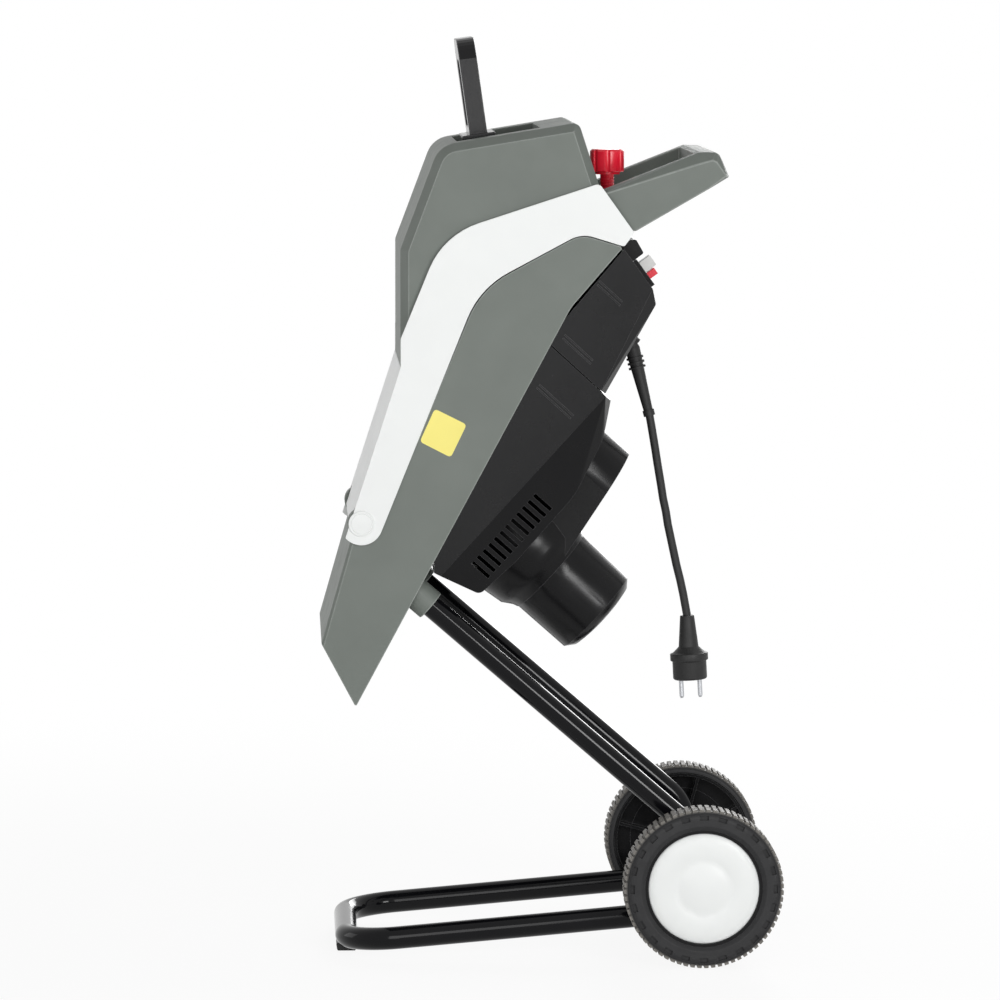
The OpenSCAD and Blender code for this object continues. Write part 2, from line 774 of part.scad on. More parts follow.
plug_face = plug_sleeve_l + plug_flange_t + plug_body_l;
module plug_body() {
    color(black) at_plug() difference() {
        rotate_extrude() polygon([[0, 0], [cord_d / 2 + 3, 0], [cord_d / 2 + 6, plug_sleeve_l - 6],
            [plug_flange_d / 2 - 3, plug_sleeve_l], [plug_flange_d / 2, plug_sleeve_l + 1],
            [plug_flange_d / 2, plug_sleeve_l + plug_flange_t],
            [plug_body_d / 2, plug_sleeve_l + plug_flange_t + 1],
            [plug_body_d / 2, plug_face - 1.5], [plug_body_d / 2 - 1.5, plug_face], [0, plug_face]]);
        for (x = [-1, 1]) translate([x * plug_pin_gap / 2, 0, 0])
            rod(plug_pin_d / 2 + press_fit, plug_face - 8, plug_face + cut);
    }
}
module plug_pins() {
    color(brass) at_plug() for (x = [-1, 1]) translate([x * plug_pin_gap / 2, 0, 0]) {
        rod(plug_pin_d / 2, plug_face - 8 + press_fit, plug_face + plug_pin_l - 2);
        translate([0, 0, plug_face + plug_pin_l - 2])
            cylinder(r1 = plug_pin_d / 2, r2 = plug_pin_d / 2 - 1, h = 2);
    }
}

// Cutter and drive
module carrier_holes(r) {
    for (a = [45:90:315]) rotate([0, 0, a]) translate([bolt_ring_r, 0, 0])
        rod(r, -deck_t - carrier_flange_t - cut, cut);
}
bearing_top = -deck_t - carrier_flange_t;
bearing_low = carrier_end + 3;
module bearing_carrier() {
    color(steel) at_spindle() difference() {
        union() {
            rod(carrier_flange_d / 2, -deck_t - carrier_flange_t, -deck_t);
            rod(carrier_d / 2, carrier_end, -deck_t);
            for (a = [0:90:270]) rotate([0, 0, a])
                translate([carrier_d / 2 - 2, -1.5, -deck_t - carrier_flange_t - 14])
                    cube([carrier_flange_d / 2 - carrier_d / 2 - 3, 3, 15]);
        }
        rod(spindle_d / 2 + 4, carrier_end - cut, cut);
        rod(bearing_d / 2 + press_fit, carrier_end - cut, bearing_top);
        carrier_holes(bolt_d / 2 + run_fit);
    }
}
module carrier_bolts() {
    color(steel) at_spindle() for (a = [45:90:315]) rotate([0, 0, a]) translate([bolt_ring_r, 0, 0]) {
        rod(bolt_d / 2, -deck_t - carrier_flange_t, -0.5);
        translate([0, 0, -deck_t - carrier_flange_t - 4]) cylinder(d = bolt_d * 1.9, h = 4, $fn = 6);
    }
}
module spindle() {
    color(steel) at_spindle() union() {
        rod(spindle_d / 2, spindle_end, disc_top - 1);
        rod(spindle_d / 2 + 12, 2, disc_gap);
    }
}
module spindle_bearings() {
    color(steel) at_spindle() for (z = [bearing_low, bearing_top - bearing_t])
        ring(bearing_d / 2, spindle_d / 2 + run_fit, z, z + bearing_t);
}
module pulley(d, bore, hub) {
    half = pulley_w / 2;
    difference() {
        translate([0, 0, belt_h]) rotate_extrude() polygon([[0, -half], [d / 2 + 2, -half],
            [d / 2 + 2, -half + 1], [d / 2, -half + 1], [d / 2, half - 1], [d / 2 + 2, half - 1],
            [d / 2 + 2, half], [d / 2 - 4, half], [hub / 2, half - (d > 50 ? 6 : 0)], [hub / 2, half + 3],
            [0, half + 3]]);
        rod(bore / 2 + press_fit, belt_h - pulley_w, belt_h + pulley_w);
    }
}
module spindle_pulley() {
    color(steel) at_spindle() pulley(spindle_pulley_d, spindle_d, spindle_d + 14);
}
module motor_pulley() {
    color(steel) at_motor() pulley(motor_pulley_d, motor_shaft_d, motor_pulley_d - 8);
}
module belt_loop(more) {
    hull() {
        translate([spindle_s, 0]) circle(r = spindle_pulley_d / 2 + belt_run + more, $fn = 96);
        translate([motor_s, 0]) circle(r = motor_pulley_d / 2 + belt_run + more, $fn = 96);
    }
}
module drive_belt() {
    color(rubber) head() translate([0, 0, belt_h - belt_w / 2]) linear_extrude(belt_w) difference() {
        belt_loop(belt_t);
        belt_loop(0);
    }
}
// Two blades, each on its own half of the disc
blade_in = 30;
blade_l = disc_d / 2 - blade_in - 3;
blade_w = 38;
module each_blade() {
    for (a = [0, 180]) rotate([0, 0, a]) children();
}
module blade_hole_places() {
    for (x = [0.25, 0.75]) translate([blade_in + x * blade_l, 10, 0]) children();
}
screw_r = 3;
module cutter_disc() {
    color(steel) at_spindle() difference() {
        rod(disc_d / 2, disc_gap, disc_top);
        rod(spindle_d / 2 + press_fit, 0, disc_top + cut);
        each_blade() {
            translate([blade_in, -22, 0]) cube([blade_l - 4, 18, 40]);
            blade_hole_places() rod(screw_r + press_fit, 0, 40);
        }
    }
}
module blades() {
    color(steel) at_spindle() each_blade() difference() {
        translate([0, 0, disc_top]) rotate([90, 0, 90]) translate([0, 0, blade_in]) linear_extrude(blade_l)
            polygon([[-6, 0], [blade_w - 12, 0], [blade_w - 12, blade_t], [-1, blade_t]]);
        blade_hole_places() rod(screw_r + press_fit, 0, 40);
    }
}
module blade_screws() {
    color(steel) at_spindle() each_blade() blade_hole_places() {
        rod(screw_r, disc_gap, disc_top + blade_t);
        rod(screw_r + 2, disc_top + blade_t, disc_top + blade_t + 2.2);
    }
}
module disc_bolt() {
    color(steel) at_spindle() {
        rod(spindle_d / 2 + 9, disc_top, disc_top + 3.5);
        translate([0, 0, disc_top + 3.5]) cylinder(r = 9, h = 4.5, $fn = 6);
    }
}
module motor_bracket() {
    low = bracket_top - bracket_t;
    color(steel) at_motor() difference() {
        rod(pot_in - run_fit, low, bracket_top);
        rod(motor_shaft_d / 2 + 3, low - cut, bracket_top + cut);
        rod(motor_bearing_d / 2 + press_fit, low - cut, low + motor_bearing_t);
        for (a = [30:60:330]) rotate([0, 0, a]) translate([31, 0, 0]) rod(7, low - cut, bracket_top + cut);
    }
}
motor_low = -motor_pot_depth - pot_dome + 3.5;
module motor_shaft() {
    color(steel) at_motor() rod(motor_shaft_d / 2, motor_low + 1, belt_h + pulley_w / 2 + 4);
}
module armature_core() {
    slots = 12;
    r = armature_d / 2;
    color(copper) at_motor() difference() {
        union() {
            rod(r, stator_end, stator_top);
            rod(r - 5, stator_end - coil_h, stator_top + coil_h);
        }
        rod(motor_shaft_d / 2 + press_fit, -300, 0);
        for (i = [0:slots - 1]) rotate([0, 0, 360 * i / slots]) translate([r - 4, -1.5, stator_end - cut])
            cube([6, 3, stator_top - stator_end + 2 * cut]);
    }
}
module commutator() {
    color(copper) at_motor()
        ring(commutator_d / 2, motor_shaft_d / 2 + press_fit, commutator_top - commutator_l, commutator_top);
}
module motor_fan() {
    top = bracket_top - bracket_t - 2.5;
    color(black) at_motor() difference() {
        union() {
            rod(fan_d / 2, top - 2, top);
            rod(motor_shaft_d / 2 + 5, top - fan_h, top);
            for (i = [0:10]) rotate([0, 0, i * 360 / 11]) translate([motor_shaft_d / 2 + 6, -1, top - fan_h])
                cube([fan_d / 2 - motor_shaft_d / 2 - 7, 2, fan_h - 1]);
        }
        rod(motor_shaft_d / 2 + press_fit, top - 2 * fan_h, top + cut);
    }
}
module motor_bearings() {
    low = bracket_top - bracket_t;
    color(steel) at_motor() {
        ring(motor_bearing_d / 2, motor_shaft_d / 2 + run_fit, low, low + motor_bearing_t - 0.2);
        ring(motor_bearing_d / 2, motor_shaft_d / 2 + run_fit, motor_low, motor_low + motor_bearing_t);
    }
}
module stator_core() {
    color(steel) at_motor() ring(pot_in - run_fit, stator_bore / 2, stator_end, stator_top);
}
module field_coils() {
    color(copper) at_motor() for (z = [stator_top, stator_end - coil_h]) pair()
        translate([0, 0, z]) rotate([0, 0, 20]) rotate_extrude(angle = 140)
            polygon(rounded([[stator_bore / 2 + 3, 0, 0], [pot_in - 4, 0, 0], [pot_in - 4, coil_h, 3],
                [stator_bore / 2 + 3, coil_h, 3]], 4));
}
module brush_holders() {
    mid = commutator_top - commutator_l / 2;
    color(brass) at_motor() difference() {
        for (a = [0, 180]) rotate([0, 0, a]) translate([commutator_d / 2 - 1, -5, mid - 7])
            cube([pot_in - commutator_d / 2 + 0.5, 10, 14]);
        rod(commutator_d / 2 + side_gap, mid - 20, mid + 20);
    }
}

// Hopper
module hopper_block(corners, t) {
    hull() {
        slab(hopper_w - 2 * hopper_skin - 2 * t) offset(delta = -t) polygon(rounded(corners));
        slab(hopper_w - 2 * t) offset(delta = -t - hopper_bevel) polygon(rounded(corners));
    }
}
// Mouth of the hopper with its lip, t inside the lip's outer face
module mouth_lip(t, z0, z1) {
    l = mouth_front + mouth_rear - lip_gap - lip_in - 2 * t;
    w = mouth_w - 2 * lip_in - 2 * t;
    translate([lip_gap + t - mouth_front, -w / 2, z0]) cube([l, w, z1 - z0]);
}
module hopper_shell() {
    pocket_r = knob_d / 2 + knob_room;
    color(grey) difference() {
        union() {
            difference() {
                at_hinge() hopper_block(hopper_outline(0), 0);
                at_hinge() hopper_block(hopper_outline(30), wall);
            }
            at_feed() mouth_lip(0, -lip_h, 0);
            at_hinge() intersection() {
                hopper_block(hopper_outline(0), 0);
                translate([knob_x, 0, 0]) rod(pocket_r + wall, shelf_low + cut, shelf_top + 60);
            }
            at_hinge() difference() {
                slab(2 * shelf_half) polygon([[226, shelf_low], [226, shelf_top], [268, shelf_top],
                    [274, 293], [266, shelf_low]]);
                pair() translate([231, lock_r, shelf_low - 20])
                    cube([32, shelf_half - lock_r - wall, shelf_top - shelf_low + 20 - wall]);
            }
        }
        at_feed() mouth_lip(wall, -30, 60);
        at_hinge() {
            slab(hopper_w + 2) offset(delta = seam_gap) chute_outline();
            translate([knob_x, 0, 0]) {
                rod(screw_d / 2 + screw_gap, 200, 400);
                rod(pocket_r, shelf_top, shelf_top + 100);
            }
        }
    }
}
module front_cover() {
    top = front_l - cover_gap;
    color(white) at_hinge() difference() {
        slab(2 * arm_in) polygon([front_pt(cover_low), front_pt(top), front_pt(top, wall),
            front_pt(cover_low, wall)]);
        pair() hinge_rod(boss_r + boss_gap, shell_w / 2 - boss_l - boss_gap, arm_in + cut);
    }
}
module arm(side) {
    at_hinge() difference() {
        translate([0, side * (arm_in + arm_t / 2), 0]) slab(arm_t) polygon(rounded(arm_corners));
        hinge_rod(hinge_pin_d / 2 + press_fit, -arm_in - arm_t - cut, arm_in + arm_t + cut);
    }
}
module left_arm() {
    color(white) arm(-1);
}
module right_arm() {
    color(white) arm(1);
}
pin_in = shell_w / 2 - 20;
arm_out = arm_in + arm_t;
module hinge_pin() {
    at_hinge() {
        hinge_rod(hinge_pin_d / 2, pin_in, arm_out);
        translate([0, arm_out, 0]) rotate([-90, 0, 0]) rotate_extrude()
            polygon([[0, 0], [13, 0], [13, 1], [12.5, 1.6], [11.4, 1.6], [11, 1.1], [10.4, 1.1], [10, 1.9],
                [0, 2.4]]);
    }
}
module left_hinge_pin() {
    color(white) mirror([0, 1, 0]) hinge_pin();
}
module right_hinge_pin() {
    color(white) hinge_pin();
}
// Funnel from the hopper's mouth down to the throat, t outside or inside its wall
module funnel(t) {
    top = -wall - funnel_drop;
    hull() {
        translate([-mouth_front - t, -mouth_w / 2 - t, top - 1])
            cube([mouth_front + mouth_rear + 2 * t, mouth_w + 2 * t, 1]);
        translate([-throat_l / 2 - t, -throat_w / 2 - t, -throat_top])
            cube([throat_l + 2 * t, throat_w + 2 * t, 1]);
    }
}
module throat_tube(t, over) {
    translate([-throat_l / 2 - t, -throat_w / 2 - t, -300])
        cube([throat_l + 2 * t, throat_w + 2 * t, 300 - throat_top + over]);
}
module feed_throat() {
    color(black) difference() {
        at_feed() difference() {
            union() {
                funnel(throat_wall);
                throat_tube(throat_wall, 0.5);
            }
            funnel(0);
            throat_tube(0, 0.5);
            translate([-mouth_front, -mouth_w / 2, -wall - funnel_drop - 1])
                cube([mouth_front + mouth_rear, mouth_w, 10]);
        }
        head() translate([0, -200, throat_end - 300]) cube([500, 400, 300]);
    }
}
// Rear carrying handle: its ends slope in from the sides up to the crest
module rear_handle() {
    down = unit(rear_wall_low - rear_wall_top);
    off = side_gap * [-down[1], down[0]];
    crest_top = rear_wall_top + 7 * down + off;
    side_top = rear_wall_top + 9.7 * down + off;
    root_low = rear_wall_low - 2 * down + off;
    color(grey) at_hinge() difference() {
        hull() {
            slab(hopper_w - 30) polygon([crest_top, [336, 369.3], [340, 370.7], [355.7, 370.2], [359, 368],
                [362, 362], [369, 346], [275, 292], root_low]);
            slab(hopper_w - 8) polygon([side_top, [334, 358], [352, 363], [356, 361], [366, 347], [348, 334],
                [275, 292], root_low]);
        }
        translate([200, -shelf_half - side_gap, 200]) cube([135, 2 * (shelf_half + side_gap), 300]);
    }
}
module locking_knob() {
    flutes = 8;
    color(red) at_hinge() translate([knob_x, 0, 0]) {
        difference() {
            rotate_extrude() polygon([[0, knob_z], [knob_d / 2 - 1, knob_z], [knob_d / 2, knob_z + 1],
                [knob_d / 2, knob_z + knob_h - 2], [knob_d / 2 - 2, knob_z + knob_h], [0, knob_z + knob_h]]);
            for (i = [0:flutes - 1]) rotate([0, 0, 360 * i / flutes]) translate([knob_d / 2 + 1.5, 0, 0])
                rod(3, knob_z - cut, knob_z + knob_h + cut);
        }
        rod(screw_d / 2, screw_tip, knob_z);
    }
}
module knob_washer() {
    color(steel) at_hinge() translate([knob_x, 0, 0])
        ring(screw_d / 2 + 6, screw_d / 2 + side_gap, knob_z - side_gap - washer_t, knob_z - side_gap);
}
// Plunger, along the feed axis
stop_h0 = -throat_top + 8;
module plunger_stem() {
    half_l = throat_l / 2 - paddle_gap;
    half_w = throat_w / 2 - paddle_gap;
    slope = (mouth_w - throat_w) / 2 / (throat_top - wall - funnel_drop - 1);
    stop_half = throat_w / 2 + 7 * slope - side_gap;
    color(black) difference() {
        at_feed() difference() {
            union() {
                translate([-12, -50, stop_h0]) cube([24, 100, -stop_h0]);
                translate([-half_l, -half_w, -220]) cube([2 * half_l, 2 * half_w, 220 + stop_h0 - 20]);
                translate([-12, -half_w, stop_h0 - 20]) cube([24, 2 * half_w, 20]);
                translate([-12, -stop_half, stop_h0]) cube([24, 2 * stop_half, 6]);
            }
            for (y = [-1, 1]) translate([-20, y * 25 - 18, stop_h0 + 14]) cube([40, 36, -stop_h0 - 24]);
        }
        head() translate([0, -200, throat_end + 12 - 300]) cube([500, 400, 300]);
    }
}
module plunger_handle() {
    outer_half = 58;
    bar = 22;
    color(black) at_feed() union() {
        translate([-17, -60, 0]) cube([34, 120, 4]);
        rotate([90, 0, 90]) linear_extrude(grip_t, center = true) difference() {
            polygon(rounded([[-outer_half, 4, 0], [-outer_half, grip_h, 26], [outer_half, grip_h, 26],
                [outer_half, 4, 0]]));
            polygon(rounded([[bar - outer_half, 12, 6], [bar - outer_half, grip_h - bar, 14],
                [outer_half - bar, grip_h - bar, 14], [outer_half - bar, 12, 6]]));
        }
    }
}

frame_tube();
front_feet();
wheel_axle();
axle_spacers();
axle_clips();
left_tyre();
left_rim();
left_hub_cap();
right_tyre();
right_rim();
right_hub_cap();
leg_sockets();
chute_shell();
motor_housing();
switch_housing();
switch_frame();
start_button();
stop_button();
cord_boot();
cord();
plug_body();
plug_pins();
bearing_carrier();
carrier_bolts();
spindle();
spindle_bearings();
spindle_pulley();
drive_belt();
cutter_disc();
blades();
blade_screws();
disc_bolt();
motor_bracket();
motor_shaft();
motor_pulley();
armature_core();
commutator();
motor_fan();
motor_bearings();
stator_core();
field_coils();
brush_holders();
hopper_shell();
front_cover();
left_arm();
right_arm();
left_hinge_pin();
right_hinge_pin();
feed_throat();
rear_handle();
locking_knob();
knob_washer();
plunger_stem();
plunger_handle();
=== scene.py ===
"""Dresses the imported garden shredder: camera, lead, finishes, label, thread, foot pads, floor and light."""
import json
import math

import bmesh
import bpy
from mathutils import Matrix, Vector


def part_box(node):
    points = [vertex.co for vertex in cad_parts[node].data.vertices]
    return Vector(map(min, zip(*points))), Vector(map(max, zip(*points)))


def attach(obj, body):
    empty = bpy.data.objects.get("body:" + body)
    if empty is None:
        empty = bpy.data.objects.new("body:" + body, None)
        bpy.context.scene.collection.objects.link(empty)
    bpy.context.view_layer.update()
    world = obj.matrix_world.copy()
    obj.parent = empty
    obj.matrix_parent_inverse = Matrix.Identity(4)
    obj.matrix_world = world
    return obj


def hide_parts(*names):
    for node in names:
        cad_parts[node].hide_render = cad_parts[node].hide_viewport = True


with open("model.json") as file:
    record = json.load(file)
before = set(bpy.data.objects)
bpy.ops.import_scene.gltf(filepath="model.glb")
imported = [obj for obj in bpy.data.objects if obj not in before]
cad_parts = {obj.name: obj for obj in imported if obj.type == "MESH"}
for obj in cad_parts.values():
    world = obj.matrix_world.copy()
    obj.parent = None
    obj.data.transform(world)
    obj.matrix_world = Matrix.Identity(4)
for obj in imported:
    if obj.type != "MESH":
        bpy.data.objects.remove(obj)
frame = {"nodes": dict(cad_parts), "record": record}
nodes = frame["nodes"]
slot_of = {part["node"]: part["material_slot"] for part in frame["record"]["subparts"]}
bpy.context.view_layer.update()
scene = bpy.context.scene
MM_PER_M = 1000

# Camera at the photograph's place: long lens, a little above the machine and to its front
CAMERA_PLACE = (-0.2701, -6.4045, 0.9927)
# Degrees about the vertical, and down from level
CAMERA_TURN = -2.0
CAMERA_DROP = 4.8
LENS = 225.7
SENSOR = 36.0
CAMERA_REACH = 60.0


def add_camera():
    turn = math.radians(CAMERA_TURN)
    drop = math.radians(CAMERA_DROP)
    right = Vector((math.cos(turn), math.sin(turn), 0.0))
    back = Vector((math.sin(turn) * math.cos(drop), -math.cos(turn) * math.cos(drop), math.sin(drop)))
    up = back.cross(right)
    data = bpy.data.cameras.new("camera")
    data.lens = LENS
    data.sensor_width = SENSOR
    data.clip_end = CAMERA_REACH
    camera = bpy.data.objects.new("camera", data)
    camera.matrix_world = Matrix.Translation(CAMERA_PLACE) @ Matrix((right, up, back)).transposed().to_4x4()
    scene.collection.objects.link(camera)
    scene.camera = camera


# Mains lead: middle line in millimetres, as in the part's source
CORD_ROUTE = [
    (107, 0, 541), (109, 0, 530), (111, 0, 518), (113, 0, 506), (115, 0, 493), (117, 0, 481), (119, 0, 469),
    (121, 0, 456), (124, 0, 442), (126, 0, 429), (129, 0, 415), (132, 0, 401), (135, 0, 387), (139, 0, 371),
    (142, 0, 357), (144, 0, 346), (146, 0, 335),
]
CORD_D = 0.0085
CORD_ROUNDNESS = 5


def add_cord():
    points = [Vector(p) / MM_PER_M for p in CORD_ROUTE]
    curve = bpy.data.curves.new("mains_lead", "CURVE")
    curve.dimensions = "3D"
    # The points carry the lead's thickness as their radius, so the bevel is one unit deep
    curve.bevel_depth = 1.0
    curve.bevel_resolution = CORD_ROUNDNESS
    curve.use_fill_caps = True
    spline = curve.splines.new("POLY")
    spline.points.add(len(points) - 1)
    for p, q in zip(spline.points, points):
        p.co = (*q, 1.0)
        p.radius = CORD_D / 2
    lead = bpy.data.objects.new("mains_lead", curve)
    scene.collection.objects.link(lead)
    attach(lead, "chassis")
    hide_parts("cord")
    return lead


add_camera()
lead = add_cord()


def middle_of(node):
    low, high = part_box(node)
    return [(a + b) / 2 for a, b in zip(low, high)]


# Noise: roughness of its octaves, and the span of its values that is in use
NOISE_ROUGH = 0.55
NOISE_LOW = 0.3
NOISE_HIGH = 0.7
# Its octaves for tone and gloss, and for grain
DRIFT_DETAIL = 3.0
GRAIN_DETAIL = 2.0
# Painted edge highlight: samples of the rounded normal, and how far it agrees with the face where the painted
# highlight begins and is full
HIGHLIGHT_SAMPLES = 4
HIGHLIGHT_BEGINS = 0.985
HIGHLIGHT_FULL = 0.90


class Shader:
    """A Principled material with object-space noise for tone, gloss and surface grain."""

    def __init__(self, name, colour, rough, metal=0.0, specular=0.5):
        self.material = bpy.data.materials.new(name)
        self.material.use_nodes = True
        self.tree = self.material.node_tree
        self.bsdf = self.tree.nodes["Principled BSDF"]
        self.bsdf.inputs["Base Color"].default_value = (*colour, 1.0)
        self.bsdf.inputs["Roughness"].default_value = rough
        self.bsdf.inputs["Metallic"].default_value = metal
        self.bsdf.inputs["Specular IOR Level"].default_value = specular
        self.colour = colour
        self.rough = rough
        self.place = self.node("ShaderNodeTexCoord").outputs["Object"]
        self.top_colour = None

    def node(self, kind, **values):
        n = self.tree.nodes.new(kind)
        for key, value in values.items():
            setattr(n, key, value)
        return n

    def link(self, a, b):
        self.tree.links.new(a, b)

    def noise(self, scale, detail, stretch=None):
        n = self.node("ShaderNodeTexNoise")
        n.inputs["Scale"].default_value = scale
        n.inputs["Detail"].default_value = detail
        n.inputs["Roughness"].default_value = NOISE_ROUGH
        if stretch is None:
            self.link(self.place, n.inputs["Vector"])
        else:
            m = self.node("ShaderNodeMapping")
            m.inputs["Scale"].default_value = stretch
            self.link(self.place, m.inputs["Vector"])
            self.link(m.outputs["Vector"], n.inputs["Vector"])
        return n.outputs["Fac"]

    def remap(self, source, start, end, low=0.0, high=1.0):
        """Source between start and end, as a value between low and high."""
        n = self.node("ShaderNodeMapRange")
        n.inputs["From Min"].default_value = start
        n.inputs["From Max"].default_value = end
        n.inputs["To Min"].default_value = low
        n.inputs["To Max"].default_value = high
        self.link(source, n.inputs["Value"])
        return n.outputs["Result"]

    def show(self, colour):
        self.top_colour = colour
        self.link(colour, self.bsdf.inputs["Base Color"])

    def tone(self, scale, amount, stretch=None):
        """Base colour that drifts lighter and darker by amount."""
        ramp = self.node("ShaderNodeValToRGB")
        stops = ramp.color_ramp.elements
        for stop, position, share in zip(stops, (NOISE_LOW, NOISE_HIGH), (1 - amount, 1 + amount)):
            stop.color = (*(c * share for c in self.colour), 1.0)
            stop.position = position
        self.link(self.noise(scale, DRIFT_DETAIL, stretch), ramp.inputs["Fac"])
        self.show(ramp.outputs["Color"])

    def cover(self, share, colour):
        """Colour laid over the tone where share is 1."""
        mix = self.node("ShaderNodeMix", data_type="RGBA")
        mix.inputs["B"].default_value = (*colour, 1.0)
        self.link(share, mix.inputs["Factor"])
        self.link(self.top_colour, mix.inputs["A"])
        self.show(mix.outputs["Result"])

    def edge_highlight(self, colour, radius):
        """Painted highlight: a lighter colour along sharp edges, where a rounded normal leaves the face's
        own.
        """
        rounded = self.node("ShaderNodeBevel", samples=HIGHLIGHT_SAMPLES)
        rounded.inputs["Radius"].default_value = radius
        face = self.node("ShaderNodeNewGeometry").outputs["Normal"]
        agree = self.node("ShaderNodeVectorMath", operation="DOT_PRODUCT")
        self.link(rounded.outputs["Normal"], agree.inputs[0])
        self.link(face, agree.inputs[1])
        self.cover(self.remap(agree.outputs["Value"], HIGHLIGHT_BEGINS, HIGHLIGHT_FULL), colour)

    def dusty(self, colour, start, end):
        """Dust on a tread, from start to end metres off the wheels' axle."""
        axle = middle_of("left_tyre")
        flat = self.node("ShaderNodeVectorMath", operation="MULTIPLY_ADD")
        flat.inputs[1].default_value = (1.0, 0.0, 1.0)
        flat.inputs[2].default_value = (-axle[0], 0.0, -axle[2])
        reach = self.node("ShaderNodeVectorMath", operation="LENGTH")
        self.link(self.place, flat.inputs[0])
        self.link(flat.outputs["Vector"], reach.inputs[0])
        self.cover(self.remap(reach.outputs["Value"], start, end), colour)

    def gloss(self, scale, amount):
        """Roughness that drifts up and down by amount."""
        drift = self.noise(scale, DRIFT_DETAIL)
        rough = self.remap(drift, NOISE_LOW, NOISE_HIGH, self.rough - amount, self.rough + amount)
        self.link(rough, self.bsdf.inputs["Roughness"])

    def grain(self, scale, strength, depth, stretch=None):
        bump = self.node("ShaderNodeBump")
        bump.inputs["Strength"].default_value = strength
        bump.inputs["Distance"].default_value = depth
        self.link(self.noise(scale, GRAIN_DETAIL, stretch), bump.inputs["Height"])
        self.link(bump.outputs["Normal"], self.bsdf.inputs["Normal"])


# Finishes: linear colour, roughness, metal and specular level, and
# tone: noise scale and amount, and on steel the noise's stretch along x, y and z
# gloss: noise scale and amount
# grain: noise scale, strength and depth in metres, and on steel and copper the stretch
# painted edge highlight: colour of the highlight painted along sharp edges, and its radius in metres
# dust: colour, and the metres off the axle where it begins and is full
FINISHES = {
    # grey_plastic and black_plastic take a painted highlight along their sharp edges
    "grey_plastic": dict(
        colour=(0.158, 0.176, 0.159), rough=0.5, specular=0.28, tone=(14, 0.05),
        edge_highlight=((0.34, 0.36, 0.34), 0.002), gloss=(60, 0.05), grain=(1500, 0.22, 0.0004)),
    # Lighter copy of grey_plastic for the rounded edges: a painted highlight
    "grey_edge_highlight": dict(
        colour=(0.27, 0.29, 0.27), rough=0.45, specular=0.28, tone=(120, 0.15),
        gloss=(60, 0.05), grain=(1500, 0.15, 0.0003)),
    "white_plastic": dict(
        colour=(0.82, 0.835, 0.825), rough=0.36, specular=0.4, tone=(10, 0.015),
        gloss=(50, 0.05), grain=(1400, 0.12, 0.0003)),
    "black_plastic": dict(
        colour=(0.0045, 0.0045, 0.005), rough=0.25, specular=0.17, tone=(16, 0.15),
        edge_highlight=((0.10, 0.10, 0.103), 0.0006), gloss=(40, 0.03), grain=(1300, 0.1, 0.0003)),
    # Lighter copy of black_plastic for the rounded edges: a painted highlight
    "black_edge_highlight": dict(
        colour=(0.035, 0.035, 0.036), rough=0.3, specular=0.3, tone=(120, 0.25),
        gloss=(40, 0.06), grain=(1300, 0.15, 0.0003)),
    "grip_plastic": dict(
        colour=(0.0045, 0.0045, 0.005), rough=0.18, specular=0.22, tone=(16, 0.15),
        gloss=(40, 0.04), grain=(1300, 0.1, 0.0003)),
    "black_tube": dict(
        colour=(0.004, 0.004, 0.005), rough=0.1, specular=0.15, tone=(20, 0.1), gloss=(30, 0.02)),
    "black_rubber": dict(
        colour=(0.026, 0.026, 0.026), rough=0.5, specular=0.25, tone=(40, 0.12),
        gloss=(80, 0.06), grain=(1800, 0.2, 0.0003)),
    "tyre_rubber": dict(
        colour=(0.017, 0.017, 0.018), rough=0.58, specular=0.3, tone=(25, 0.15),
        dust=((0.17, 0.16, 0.145), 0.0765, 0.0785), gloss=(70, 0.07), grain=(900, 0.3, 0.0006)),
    "red_plastic": dict(
        colour=(0.93, 0.012, 0.04), rough=0.3, tone=(30, 0.06), gloss=(60, 0.04), grain=(1500, 0.1, 0.0003)),
    "button_white": dict(
        colour=(0.84, 0.84, 0.82), rough=0.28, tone=(60, 0.02), gloss=(80, 0.04), grain=(1600, 0.08, 0.0002)),
    "steel": dict(
        colour=(0.50, 0.51, 0.53), rough=0.3, metal=1.0, tone=(40, 0.08, (1, 1, 12)),
        gloss=(90, 0.06), grain=(500, 0.15, 0.0002, (1, 1, 14))),
    "cast_alloy": dict(
        colour=(0.46, 0.47, 0.48), rough=0.5, metal=1.0, tone=(60, 0.08),
        gloss=(120, 0.08), grain=(900, 0.35, 0.0005)),
    "copper": dict(
        colour=(0.60, 0.24, 0.10), rough=0.34, metal=1.0, tone=(50, 0.12),
        gloss=(90, 0.06), grain=(300, 0.4, 0.0006, (1, 6, 1))),
    "brass": dict(
        colour=(0.70, 0.52, 0.22), rough=0.26, metal=1.0, tone=(40, 0.06),
        gloss=(90, 0.05), grain=(600, 0.1, 0.0002)),
    "yellow_label": dict(
        colour=(0.87, 0.765, 0.18), rough=0.32, tone=(30, 0.02), gloss=(70, 0.05), grain=(900, 0.06, 0.0002)),
}


def make_material(name, tone, gloss, grain=None, edge_highlight=None, dust=None, **surface):
    shader = Shader(name, **surface)
    shader.tone(*tone)
    # Painted highlight along the sharp edges
    if edge_highlight:
        shader.edge_highlight(*edge_highlight)
    if dust:
        shader.dusty(*dust)
    shader.gloss(*gloss)
    if grain:
        shader.grain(*grain)
    return shader.material


materials = {name: make_material(name, **finish) for name, finish in FINISHES.items()}


def paint(obj, name):
    obj.data.materials.clear()
    obj.data.materials.append(materials[name])


for node, slot in slot_of.items():
    paint(nodes[node], slot)
paint(lead, "black_rubber")
# Two looks that the record's slots don't give: the washer is red, and the grip has more gloss
paint(nodes["knob_washer"], "red_plastic")
paint(nodes["plunger_handle"], "grip_plastic")

